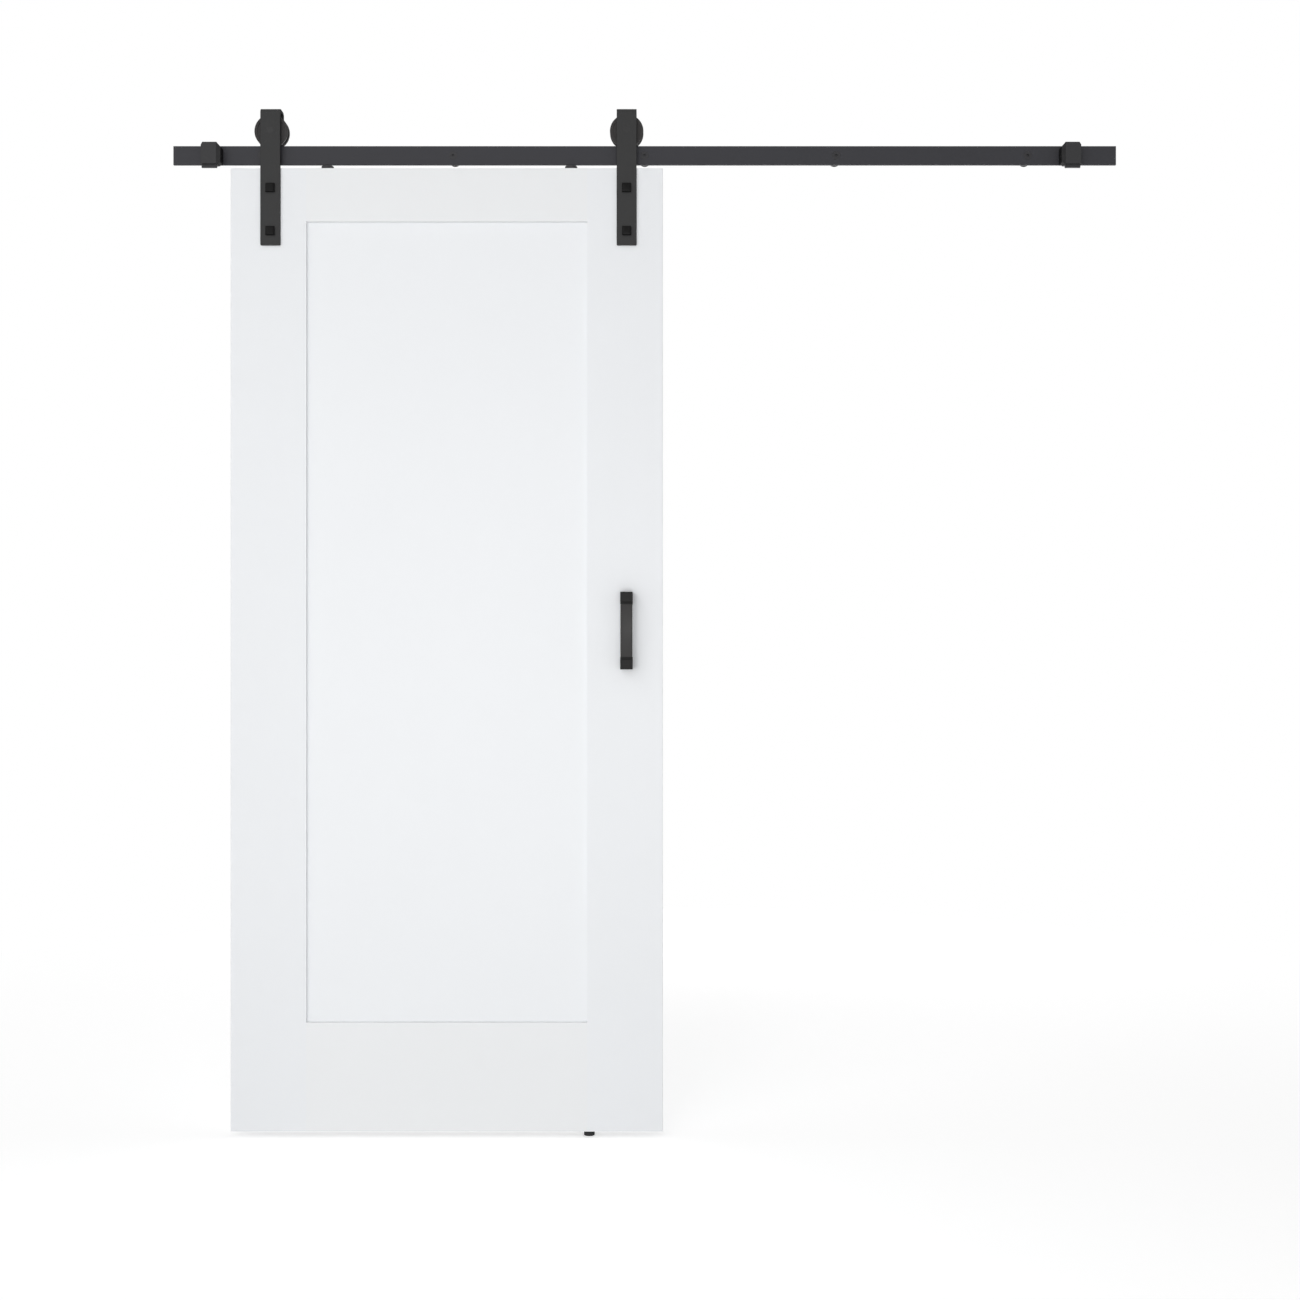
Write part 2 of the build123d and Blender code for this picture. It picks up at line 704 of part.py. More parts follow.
def make_door():
    """The door leaf's five wooden pieces and the dowels at its corners."""
    heights = dowel_heights()
    save("door_left_stile", make_stile(door_left, opening_left, left_hanger_x))
    right_stile = make_stile(door_right, opening_right, right_hanger_x)
    for z in post_heights().values():
        right_stile -= rod(
            handle_screw_diameter + 2 * hole_room,
            (handle_x, door_front - overcut, z),
            (handle_x, door_back + overcut, z),
        )
    save("door_right_stile", right_stile)

    top = make_rail_piece(
        (opening_top, door_top),
        (opening_top - overcut, opening_top + panel_groove_depth),
        heights["top"],
    )
    for x in disc_places:
        start = (x, rail_middle, door_top + overcut)
        top -= rod(disc_screw_diameter + 2 * thread_room, start, (x, rail_middle, disc_screw_tip() - overcut))
    save("door_top_rail", top)

    bottom = make_rail_piece(
        (door_bottom, opening_bottom),
        (opening_bottom - panel_groove_depth, opening_bottom + overcut),
        heights["bottom"],
    )
    save("door_bottom_rail", bottom - door_groove())

    reach = panel_groove_depth - panel_edge_gap
    half = panel_thickness / 2
    panel = block(
        (opening_left - reach, opening_right + reach),
        (door_middle - half, door_middle + half),
        (opening_bottom - reach, opening_top + reach),
    )
    save("door_centre_panel", panel)

    shoulders = (opening_left, opening_right)
    levels = heights["top"] + heights["bottom"]
    save("door_dowels", *[dowel(x, z, dowel_diameter, dowel_length) for x in shoulders for z in levels])


def disc_top():
    """Height of the anti-jump discs' upper face, a lift gap below the rail."""
    return rail_bottom - disc_lift_gap


def disc_screw_tip():
    """Height of the anti-jump screws' points inside the door."""
    return disc_top() - disc_screw_length


def make_disc(x):
    """Round disc on the door's top that keeps the wheels from lifting off the rail."""
    hole = disc_screw_diameter + 2 * hole_room
    mouth = disc_screw_head_diameter + 2 * head_room
    sink = countersunk_depth(mouth, hole)
    top = disc_top()
    disc = rod(disc_diameter, (x, rail_middle, door_top), (x, rail_middle, top))
    disc = chamfer(disc.edges().filter_by(GeomType.CIRCLE).sort_by(Axis.Z)[-1], disc_edge_chamfer)
    disc -= rod(hole, (x, rail_middle, door_top - overcut), (x, rail_middle, top + overcut))
    start = (x, rail_middle, top + overcut)
    return disc - taper(mouth + 2 * overcut, hole, start, (x, rail_middle, top - sink))


def make_disc_screw(x):
    """Countersunk wood screw through an anti-jump disc."""
    sink = countersunk_depth(disc_screw_head_diameter, disc_screw_diameter)
    top = disc_top()
    point = disc_screw_tip()
    screw = taper(
        disc_screw_head_diameter,
        disc_screw_diameter,
        (x, rail_middle, top),
        (x, rail_middle, top - sink),
    )
    shank_end = point + disc_screw_diameter
    screw += rod(disc_screw_diameter, (x, rail_middle, top - sink), (x, rail_middle, shank_end))
    return screw + taper(disc_screw_diameter, 0, (x, rail_middle, shank_end), (x, rail_middle, point))


def make_post(z, towards_bar):
    """One handle post, stepped back along the edge that meets the bar; towards_bar is +1 up or -1 down."""
    half_width = post_width / 2
    half_height = post_height / 2
    front = door_front - handle_projection
    sides = (handle_x - half_width, handle_x + half_width)
    post = block(sides, (front, door_front), (z - half_height, z + half_height))
    post = fillet(post.edges().filter_by(Axis.Y), post_edge_radius)
    inner = z + towards_bar * half_height
    step = inner - towards_bar * post_rebate_height
    beyond = inner + towards_bar * overcut
    post -= block(
        (sides[0] - overcut, sides[1] + overcut),
        (front - overcut, front + post_rebate_depth),
        (min(step, beyond), max(step, beyond)),
    )
    post = fillet(post.faces().sort_by(Axis.Y)[0].edges(), post_edge_radius)
    socket_end = inner - towards_bar * (bar_tenon_length + seat_room)
    tenon_x, tenon_y = tenon_section()
    post -= block(
        (tenon_x[0] - seat_room, tenon_x[1] + seat_room),
        (tenon_y[0] - seat_room, tenon_y[1] + seat_room),
        (min(socket_end, beyond), max(socket_end, beyond)),
    )
    drill_end = (handle_x, door_front - handle_screw_grip - overcut, z)
    return post - rod(handle_screw_diameter + 2 * thread_room, (handle_x, door_front + overcut, z), drill_end)


def bar_faces():
    """The bar's front and back along Y."""
    front = door_front - handle_projection + bar_set_back
    return (front, front + bar_thickness)


def tenon_section():
    """X and Y limits of the tenons on the bar's ends, set below the posts' stepped edge."""
    front, back = bar_faces()
    tenon_front = door_front - handle_projection + post_rebate_depth + bar_tenon_shoulder
    half = bar_width / 2 - bar_tenon_shoulder
    return (handle_x - half, handle_x + half), (tenon_front, back)


def make_bar():
    """Flat grip bar with a tenon at each end."""
    reach = handle_length / 2 - post_height
    front, back = bar_faces()
    sides = (handle_x - bar_width / 2, handle_x + bar_width / 2)
    bar = block(sides, (front, back), (handle_middle - reach, handle_middle + reach))
    bar = fillet(bar.edges().filter_by(Axis.Z), bar_edge_radius)
    tenon_x, tenon_y = tenon_section()
    tip = reach + bar_tenon_length
    return bar + block(tenon_x, tenon_y, (handle_middle - tip, handle_middle + tip))


def make_handle():
    """Pull handle with the screws and washers behind the door."""
    screws = []
    washers = []
    washer_back = door_back + handle_washer_thickness
    head_back = washer_back + handle_screw_head_height
    tip = door_front - handle_screw_grip
    for z in post_heights().values():
        hole = handle_screw_diameter + 2 * hole_room
        washer_ends = (handle_x, door_back, z), (handle_x, washer_back, z)
        washers.append(tube(handle_washer_diameter, hole, *washer_ends))
        screw = rod(handle_screw_head_diameter, (handle_x, washer_back, z), (handle_x, head_back, z))
        screw = fillet(screw.edges().filter_by(GeomType.CIRCLE).sort_by(Axis.Y)[-1], handle_screw_head_radius)
        screw += rod(handle_screw_diameter, (handle_x, washer_back, z), (handle_x, tip, z))
        face = (handle_x, head_back, z)
        socket = drive_socket(handle_screw_drive_size, handle_screw_drive_depth, face, (0, -1, 0))
        screws.append(screw - socket)
    places = post_heights()
    save("handle_upper_post", make_post(places["upper"], -1))
    save("handle_lower_post", make_post(places["lower"], 1))
    save("handle_bar", make_bar())
    save("handle_screws", *screws)
    save("handle_washers", *washers)


def make_guide():
    """Floor guide: base with a hollow spigot, roller on the spigot, and the screw that holds both down."""
    def at(height):
        return (guide_x, door_middle, floor_height + height)

    roller_bottom = guide_base_height + guide_roller_end_gap
    roller_top = roller_bottom + guide_roller_length
    spigot_top = roller_top + guide_roller_end_gap
    head_top = spigot_top + guide_screw_head_height
    base = rod(guide_base_diameter, at(0), at(guide_base_height))
    base = chamfer(base.edges().filter_by(GeomType.CIRCLE).sort_by(Axis.Z)[-1], guide_base_chamfer)
    base += rod(guide_spigot_diameter, at(guide_base_height), at(spigot_top))
    base -= rod(guide_screw_diameter + 2 * hole_room, at(-overcut), at(spigot_top + overcut))
    save("guide_base", base)

    roller_bore = guide_spigot_diameter + 2 * running_room
    roller = tube(guide_roller_diameter, roller_bore, at(roller_bottom), at(roller_top))
    rims = roller.edges().filter_by(GeomType.CIRCLE).group_by(SortBy.RADIUS)[-1]
    save("guide_roller", chamfer(rims, guide_roller_chamfer))

    screw = rod(guide_screw_head_diameter, at(spigot_top), at(head_top))
    shank_end = -guide_screw_floor_length + guide_screw_tip_length
    screw += rod(guide_screw_diameter, at(0), at(spigot_top))
    screw += rod(guide_screw_thread_diameter, at(shank_end), at(0))
    screw += taper(guide_screw_thread_diameter, 0, at(shank_end), at(-guide_screw_floor_length))
    socket = drive_socket(guide_screw_drive_size, guide_screw_drive_depth, at(head_top), (0, 0, -1))
    save("guide_screw", screw - socket)


os.makedirs("parts", exist_ok=True)
save("track_rail", make_rail())
save("wall_spacers", *[make_spacer(place) for place in screw_places])
save("wall_lag_screws", *[make_lag_screw(place) for place in screw_places])
make_stop("left", left_stop_x, 1)
make_stop("right", right_stop_x, -1)
make_door()
make_hanger("left", left_hanger_x)
make_hanger("right", right_hanger_x)
for side, place in zip(("left", "right"), disc_places):
    save(f"{side}_anti_jump_disc", make_disc(place))
save("anti_jump_screws", *[make_disc_screw(place) for place in disc_places])
make_handle()
make_guide()
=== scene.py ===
import math

import bpy
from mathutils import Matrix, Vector


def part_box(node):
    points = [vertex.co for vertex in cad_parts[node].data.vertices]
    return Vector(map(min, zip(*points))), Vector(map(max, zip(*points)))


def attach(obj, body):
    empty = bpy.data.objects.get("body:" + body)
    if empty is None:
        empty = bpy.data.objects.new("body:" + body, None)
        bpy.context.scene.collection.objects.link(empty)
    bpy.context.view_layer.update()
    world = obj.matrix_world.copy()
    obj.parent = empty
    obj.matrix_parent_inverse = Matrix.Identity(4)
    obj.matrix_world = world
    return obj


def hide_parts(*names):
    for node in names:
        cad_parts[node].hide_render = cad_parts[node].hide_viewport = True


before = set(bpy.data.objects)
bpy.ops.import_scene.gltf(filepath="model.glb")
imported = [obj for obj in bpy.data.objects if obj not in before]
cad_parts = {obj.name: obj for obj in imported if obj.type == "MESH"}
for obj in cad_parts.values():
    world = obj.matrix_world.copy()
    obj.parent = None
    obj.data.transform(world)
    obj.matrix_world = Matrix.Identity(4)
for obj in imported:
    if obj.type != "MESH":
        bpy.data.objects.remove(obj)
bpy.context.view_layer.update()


# Track rail: a flat bar of mild steel, sawn to length, drilled and countersunk for its screws,
# then powder coated satin black. The wheels polish a narrow line along its top edge.
class Wire:
    """A value on its way through a finish: sums on wires and numbers add Math nodes."""

    def __init__(self, tree, socket):
        self.tree = tree
        self.socket = socket

    def output(self, name):
        """Another output of the node that this wire comes from."""
        return Wire(self.tree, self.socket.node.outputs[name])

    def kept(self):
        """The value held between 0 and 1."""
        return self.tree.maths("ADD", self, 0, clamp=True)

    def sine(self):
        return self.tree.maths("SINE", self)

    def __add__(self, other):
        return self.tree.maths("ADD", self, other)

    def __sub__(self, other):
        return self.tree.maths("SUBTRACT", self, other)

    def __rsub__(self, other):
        return self.tree.maths("SUBTRACT", other, self)

    def __mul__(self, other):
        return self.tree.maths("MULTIPLY", self, other)

    def __truediv__(self, other):
        return self.tree.maths("DIVIDE", self, other)

    def __pow__(self, other):
        return self.tree.maths("POWER", self, other)

    def __abs__(self):
        return self.tree.maths("ABSOLUTE", self)

    __radd__ = __add__
    __rmul__ = __mul__


class Tree:
    """A node tree that is written as expressions on wires."""

    def __init__(self, holder):
        holder.use_nodes = True
        self.nodes = holder.node_tree.nodes
        self.links = holder.node_tree.links

    def fill(self, node, sockets):
        """Gives a node's sockets their numbers, colours or wires."""
        for place, value in sockets.items():
            if isinstance(value, Wire):
                self.links.new(value.socket, node.inputs[place])
            else:
                node.inputs[place].default_value = value

    def node(self, kind, settings=None, sockets=None):
        """Adds a node of one kind, with its settings and then its sockets."""
        made = self.nodes.new("ShaderNode" + kind)
        for name, value in (settings or {}).items():
            setattr(made, name, value)
        self.fill(made, sockets or {})
        return Wire(self, made.outputs[0])

    def maths(self, operation, *values, clamp=False):
        settings = {"operation": operation, "use_clamp": clamp}
        return self.node("Math", settings, dict(enumerate(values)))

    def blend(self, mask, first, second):
        """One colour where the mask is 0, the other where it is 1."""
        mixed = self.node("Mix", {"data_type": "RGBA"}, {0: mask, 6: first, 7: second})
        return mixed.output(2)


class Finish(Tree):
    """A surface finish on object coordinates, in metres, with one shader at its end."""

    def __init__(self, name):
        self.material = bpy.data.materials.new(name)
        super().__init__(self.material)
        self.shader = self.nodes["Principled BSDF"]
        self.place = self.node("TexCoord").output("Object")
        parts = self.node("SeparateXYZ", {}, {0: self.place})
        self.x, self.y, self.z = parts.output(0), parts.output(1), parts.output(2)

    def noise(self, scale, detail=2.0, stretch=(1.0, 1.0, 1.0)):
        """Soft random patches, scale to the metre, stretched along each axis by a divisor."""
        squeeze = {0: self.place, 1: [1 / amount for amount in stretch]}
        place = self.node("VectorMath", {"operation": "MULTIPLY"}, squeeze)
        return self.node("TexNoise", {}, {"Vector": place, "Scale": scale, "Detail": detail})

    def relief(self, height, depth, strength=1.0):
        """A fine surface relief of that depth in metres."""
        return self.node("Bump", {}, {"Height": height, "Distance": depth, "Strength": strength})

    def close(self, **sockets):
        """Joins the finished values to the shader."""
        for name, value in sockets.items():
            self.fill(self.shader, {name.replace("_", " ").title().replace("Ior", "IOR"): value})
        return self


def rgb(red, green, blue):
    return (red, green, blue, 1.0)


def powder_coat(name, dark, light, worn=None):
    """Powder coat on steel: orange-peel grain and faint clouding. Steel shows through where worn."""
    finish = Finish(name)
    cloud = finish.noise(7, 3)
    grain = finish.noise(900, 2)
    speck = finish.noise(2400, 1)
    colour = finish.blend(cloud, dark, light)
    roughness = 0.5 + cloud * 0.1 + speck * 0.05
    metallic = 0.0
    if worn:
        mask = worn(finish)
        colour = finish.blend(mask, colour, rgb(0.3, 0.3, 0.31))
        roughness = roughness - mask * 0.2
        metallic = mask * 0.8
    relief = finish.relief(grain * 0.7 + speck * 0.3, 0.00005, 0.5)
    return finish.close(
        base_color=colour, roughness=roughness, metallic=metallic, normal=relief, specular_ior_level=0.28
    )


def dress(finish, *names):
    """Puts a finish on nodes that keep their own shape."""
    for name in names:
        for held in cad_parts[name].material_slots:
            held.material = finish.material


def middle(node):
    low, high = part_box(node)
    return (low + high) / 2


rail_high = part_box("track_rail")[1]
rail_centre = middle("track_rail")


def rolled_line(finish):
    """The bright line that the wheels leave on the rail's top edge, between the stops."""
    top = ((finish.z - (rail_high.z - 0.0007)) / 0.0005).kept()
    narrow = ((0.0021 - abs(finish.y - rail_centre.y)) / 0.0005).kept()
    travel = ((0.87 - abs(finish.x)) / 0.03).kept()
    streaks = finish.noise(40, 3, (12, 1, 1))
    return top * narrow * travel * (streaks * 1.6 - 0.3).kept()


rail_coat = powder_coat("rail_coat", rgb(0.0255, 0.0255, 0.03), rgb(0.032, 0.032, 0.0375), rolled_line)
dress(rail_coat, "track_rail")


# Wall spacers: round steel stand-offs, turned from bar and powder coated a flat black, with the coat
# painted darker still as the shade under the rail.
# Each is held between the rail and the wall by the screw that passes through it.
def turned_coat(name, dark, light, axis, shine):
    """Powder coat over a turned bar, whose tool marks show through as fine rings along an axis."""
    finish = Finish(name)
    cloud = finish.noise(30, 3)
    speck = finish.noise(1800, 1)
    along = {"y": finish.y, "z": finish.z}[axis]
    rings = (along * 9000).sine()
    return finish.close(
        base_color=finish.blend(cloud, dark, light),
        roughness=0.62 + cloud * 0.12,
        normal=finish.relief(speck * 0.6 + rings * 0.12, 0.00004, 0.5),
        specular_ior_level=shine,
    )


# Painted shade: the spacers' coat is made far darker than the rail's, standing for the shade that falls
# under the rail.
spacer_coat_painted_shade = turned_coat("spacer_coat_painted_shade", rgb(0.006, 0.006, 0.0064), rgb(0.0095, 0.0095, 0.01), "y", 0.04)
dress(spacer_coat_painted_shade, "wall_spacers")


# Wall screws: flat-headed lag screws of hardened steel, blackened to match the rail they sit flush in.
# Each has a rolled coarse thread with a gimlet point and is driven by a hexagon key.
def new_outline(name, points):
    """A new mesh in edit mode: one vertex extruded along a line of points."""
    bpy.ops.object.select_all(action="DESELECT")
    bpy.ops.mesh.primitive_plane_add(size=0.001)
    piece = bpy.context.object
    piece.name = name
    piece.data.name = name
    bpy.ops.object.mode_set(mode="EDIT")
    bpy.ops.mesh.select_mode(type="VERT")
    bpy.ops.mesh.select_all(action="SELECT")
    bpy.ops.mesh.merge(type="CENTER")
    bpy.ops.transform.translate(value=points[0])
    for start, end in zip(points, points[1:]):
        bpy.ops.mesh.extrude_region_move(TRANSFORM_OT_translate={"value": end - start})
    bpy.ops.mesh.select_all(action="SELECT")
    return piece


def close_mesh():
    """Merges what meets, points every face outwards and leaves edit mode."""
    bpy.ops.mesh.select_all(action="SELECT")
    bpy.ops.mesh.remove_doubles(threshold=0.000002)
    bpy.ops.mesh.normals_make_consistent(inside=False)
    bpy.ops.object.mode_set(mode="OBJECT")


def turn(name, outline, steps):
    """A turned piece: half an outline of (radius, height) in millimetres, spun about Z."""
    piece = new_outline(name, [Vector((radius, 0, height)) / 1000 for radius, height in outline])
    bpy.ops.mesh.spin(steps=steps, angle=math.tau, center=(0, 0, 0), axis=(0, 0, 1))
    close_mesh()
    return piece


def carve(piece, cutter, operation="DIFFERENCE"):
    """Cuts one piece with another, or joins them into one skin."""
    bpy.ops.object.select_all(action="DESELECT")
    bpy.context.view_layer.objects.active = piece
    piece.select_set(True)
    edge = piece.modifiers.new("carve", "BOOLEAN")
    edge.operation = operation
    edge.solver = "EXACT"
    edge.object = cutter
    bpy.ops.object.modifier_apply(modifier=edge.name)
    bpy.data.objects.remove(cutter)
    bpy.ops.object.mode_set(mode="EDIT")
    bpy.ops.mesh.select_mode(type="VERT")
    bpy.ops.mesh.select_all(action="SELECT")
    bpy.ops.mesh.remove_doubles(threshold=0.000001)
    bpy.ops.mesh.dissolve_degenerate(threshold=0.000001)
    bpy.ops.object.mode_set(mode="OBJECT")


def bar(sides, radius, low, high):
    """A many-sided bar along Z for cutting sockets, in millimetres."""
    bpy.ops.object.select_all(action="DESELECT")
    bpy.ops.mesh.primitive_cylinder_add(
        vertices=sides,
        radius=radius / 1000,
        depth=(high - low) / 1000,
        location=(0, 0, (low + high) / 2000),
    )
    bpy.ops.object.transform_apply()
    return bpy.context.object


def thread(piece, core, crest, pitch, start, end, point):
    """Rolls a helical ridge on a turned shank from start to end, thinning past point, in millimetres."""
    bite = 0.25
    foot = pitch * 0.42
    ridge = [(core - bite, foot), (crest, 0.12 * pitch), (crest, -0.12 * pitch), (core - bite, -foot)]
    spiral = new_outline("ridge", [Vector((r, 0, h)) / 1000 for r, h in ridge + ridge[:1]])
    bpy.ops.mesh.remove_doubles(threshold=0.000002)
    bpy.ops.object.mode_set(mode="OBJECT")
    sweep = spiral.modifiers.new("thread", "SCREW")
    sweep.axis = "Z"
    sweep.angle = math.tau
    sweep.screw_offset = pitch / 1000
    sweep.iterations = math.floor((end - foot - start) / pitch)
    sweep.steps = 20
    sweep.render_steps = 20
    bpy.ops.object.modifier_apply(modifier=sweep.name)
    for corner in spiral.data.vertices:
        corner.co.z += start / 1000
        thin = (end / 1000 - corner.co.z) / ((end - point) / 1000)
        if thin < 1:
            corner.co.x *= max(thin, 0.06)
            corner.co.y *= max(thin, 0.06)
    bpy.ops.object.mode_set(mode="EDIT")
    bpy.ops.mesh.select_all(action="SELECT")
    bpy.ops.mesh.fill_holes(sides=4)
    bpy.ops.object.mode_set(mode="OBJECT")
    carve(piece, spiral, "UNION")


def put(piece, place, turned=(0.0, 0.0, 0.0)):
    """Sets a piece at its place in the object, with its place in its mesh."""
    bpy.ops.object.select_all(action="DESELECT")
    piece.select_set(True)
    bpy.context.view_layer.objects.active = piece
    piece.rotation_euler = turned
    piece.location = place
    bpy.ops.object.transform_apply()
    return piece


def copies(piece, name, places, turned):
    """The same piece at each place, all in one mesh."""
    made = []
    for place in places:
        twin = bpy.data.objects.new(name, piece.data.copy())
        bpy.context.collection.objects.link(twin)
        made.append(put(twin, place, turned))
    bpy.data.objects.remove(piece)
    bpy.ops.object.select_all(action="DESELECT")
    for twin in made:
        twin.select_set(True)
    bpy.context.view_layer.objects.active = made[0]
    if len(made) > 1:
        bpy.ops.object.join()
    bpy.ops.object.shade_smooth_by_angle(angle=math.radians(32))
    made[0].name = name
    made[0].data.name = name
    return made[0]


def fix(piece, finish, body, slot, *stands_for):
    """Finishes a new piece and hangs it on its body, in place of the nodes that it stands for."""
    piece.data.materials.clear()
    piece.data.materials.append(finish.material)
    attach(piece, body)
    if stands_for:
        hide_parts(*stands_for)


def black_oxide(name, dark, light, shine):
    """Blackened steel with an oily sheen, a little browner in patches."""
    finish = Finish(name)
    patch = finish.noise(260, 4)
    scuff = finish.noise(1500, 3)
    return finish.close(
        base_color=finish.blend(patch, dark, light),
        roughness=0.34 + scuff * 0.16,
        normal=finish.relief(scuff, 0.00003, 0.4),
        specular_ior_level=shine,
    )


ALONG_Y = (-math.pi / 2, 0.0, 0.0)
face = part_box("wall_lag_screws")[0].y * 1000
lag_head, lag_shank, lag_crest, lag_core = 9.0, 4.2, 4.0, 3.0
lag_point, lag_tip = 20.0, 27.0
lag_pitch = 3.0
lag_drive = 6.0
lag_screw = turn(
    "lag_screw",
    [
        (0, face), (lag_head - 0.3, face), (lag_head, face + 0.3), (lag_shank, face + lag_head - lag_shank),
        (lag_shank, -1.0), (lag_core, 0.3), (lag_core, lag_point), (0, lag_tip),
    ],
    40,
)
carve(lag_screw, bar(6, lag_drive / math.sqrt(3), face - 1, face + 3))
thread(lag_screw, lag_core, lag_crest, lag_pitch, 2.2, lag_tip - 0.4, lag_point)
stud_pitch = 0.4064
lag_places = [Vector((stud_pitch * step, 0, 0)) for step in range(-2, 3)]
lag_screws = copies(lag_screw, "threaded_wall_screws", lag_places, ALONG_Y)
screw_black = black_oxide("screw_black", rgb(0.024, 0.024, 0.027), rgb(0.031, 0.03, 0.032), 0.26)
fix(lag_screws, screw_black, "track", "bolt_steel", "wall_lag_screws")


# Stops: steel blocks milled with a slot for the rail, powder coated and clamped by two set screws.
# A moulded rubber pad is screwed on the side that meets the hanger; its sides bloom grey with age, and its
# inner face is painted near-black as shade.
def moulded_rubber(name, strike):
    """Black rubber with a fine moulded grain and grey bloom; the face toward the hanger is painted
    near-black as shade.
    """
    finish = Finish(name)
    bloom = finish.noise(90, 4)
    grain = finish.noise(2200, 2)
    # Painted shade: the inner end face toward the hanger is made near-black, standing for the shade on that
    # face.
    painted_strike_shade = ((0.0009 - abs(finish.x - strike)) / 0.0006).kept() * (1.3 - bloom * 0.6).kept()
    sides = finish.blend(bloom, rgb(0.024, 0.024, 0.0245), rgb(0.033, 0.033, 0.0335))
    return finish.close(
        base_color=finish.blend(painted_strike_shade, sides, rgb(0.003, 0.003, 0.0035)),
        roughness=0.74 + grain * 0.12 + painted_strike_shade * 0.14,
        normal=finish.relief(grain, 0.00004, 0.6),
        specular_ior_level=0.12,
    )


stop_coat = powder_coat("stop_coat", rgb(0.024, 0.024, 0.0253), rgb(0.03, 0.03, 0.0315))
for side, corner in (("left", 1), ("right", 0)):
    dress(stop_coat, f"{side}_stop_body")
    dress(screw_black, f"{side}_stop_set_screws", f"{side}_stop_bumper_screw")
    pad_rubber = moulded_rubber(f"{side}_pad_rubber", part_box(f"{side}_stop_bumper")[corner].x)
    dress(pad_rubber, f"{side}_stop_bumper")


# Door leaf: two stiles, two rails and a flat panel of engineered wood, dowelled and glued.
# It is primed, sanded and rolled with white satin paint, so the corner joints don't show; the recessed
# panel gets a lighter copy of the paint as painted light.
def rolled_paint(name, shade, bright, grain_stretch):
    """White paint laid on by roller: fine stipple, slow waves, and a trace of the wood's grain."""
    finish = Finish(name)
    stipple = finish.noise(420, 3)
    wave = finish.noise(2.2, 2)
    grain = finish.noise(26, 4, grain_stretch)
    height = stipple * 0.6 + grain * 0.5
    return finish.close(
        base_color=finish.blend(wave, shade, bright),
        roughness=0.4 + stipple * 0.1 + wave * 0.05,
        normal=finish.relief(height, 0.00006, 0.35),
        specular_ior_level=0.35,
    )


UPRIGHT = (1.0, 1.0, 26.0)
ACROSS = (26.0, 1.0, 1.0)
stile_paint = rolled_paint("stile_paint", rgb(0.80, 0.815, 0.832), rgb(0.815, 0.83, 0.85), UPRIGHT)
cross_paint = rolled_paint("cross_paint", rgb(0.805, 0.816, 0.824), rgb(0.82, 0.831, 0.842), ACROSS)
# Painted light: the panel's paint is a lighter copy of the stiles' paint, standing for more light on the
# panel.
panel_paint_painted_light = rolled_paint("panel_paint_painted_light", rgb(0.825, 0.84, 0.857), rgb(0.842, 0.857, 0.875), UPRIGHT)
dress(stile_paint, "door_left_stile", "door_right_stile")
dress(cross_paint, "door_top_rail", "door_bottom_rail")
dress(panel_paint_painted_light, "door_centre_panel")


def beech(name):
    """Bare beech with short dark flecks along the dowel."""
    finish = Finish(name)
    figure = finish.noise(240, 4, (14, 1, 1))
    fleck = ((finish.noise(900, 2, (8, 1, 1)) - 0.6) * 6).kept()
    wood = finish.blend(figure, rgb(0.50, 0.33, 0.19), rgb(0.66, 0.47, 0.29))
    return finish.close(
        base_color=finish.blend(fleck, wood, rgb(0.36, 0.22, 0.12)),
        roughness=0.62 + figure * 0.15,
        normal=finish.relief(figure, 0.00008, 0.4),
    )


dress(beech("dowel_beech"), "door_dowels")


# Hangers: each a flat steel strap bent over its wheel and powder coated, with a flush axle pin.
# A lock nut closes the axle behind; square-headed bolts and sleeve nuts clamp the strap to the door.
def strap_finish(name, dark, light, hanger_x, half):
    """Powder coat on a strap at hanger_x, with painted shade: its two side faces are darkened and made
    matt.
    """
    finish = Finish(name)
    cloud = finish.noise(7, 3)
    grain = finish.noise(900, 2)
    speck = finish.noise(2400, 1)
    # Painted shade: the strap's side faces, near each edge in x, are darkened to stand for the shade beside
    # the strap.
    painted_side_shade = ((abs(finish.x - hanger_x) - (half - 0.0006)) / 0.0005).kept() * (1.2 - cloud * 0.4).kept()
    return finish.close(
        base_color=finish.blend(painted_side_shade, finish.blend(cloud, dark, light), rgb(0.008, 0.008, 0.0085)),
        roughness=0.5 + cloud * 0.1 + speck * 0.05 + painted_side_shade * 0.25,
        normal=finish.relief(grain * 0.7 + speck * 0.3, 0.00005, 0.5),
        specular_ior_level=0.22,
    )


def bright_zinc(name):
    """Zinc plate on steel: pale grey, cloudy, with fine polishing marks."""
    finish = Finish(name)
    cloud = finish.noise(180, 4)
    marks = finish.noise(1600, 2, (1, 6, 1))
    return finish.close(
        base_color=finish.blend(cloud, rgb(0.52, 0.53, 0.54), rgb(0.66, 0.665, 0.66)),
        roughness=0.26 + cloud * 0.14 + marks * 0.06,
        metallic=1.0,
        normal=finish.relief(marks, 0.00002, 0.3),
    )


def moulded_nylon(name, dark, light, shine):
    """Moulded nylon with a faint flow clouding and a fine spark-eroded skin."""
    finish = Finish(name)
    flow = finish.noise(60, 3)
    skin = finish.noise(2000, 2)
    return finish.close(
        base_color=finish.blend(flow, dark, light),
        roughness=0.4 + skin * 0.12,
        normal=finish.relief(skin, 0.00003, 0.5),
        specular_ior_level=shine,
    )


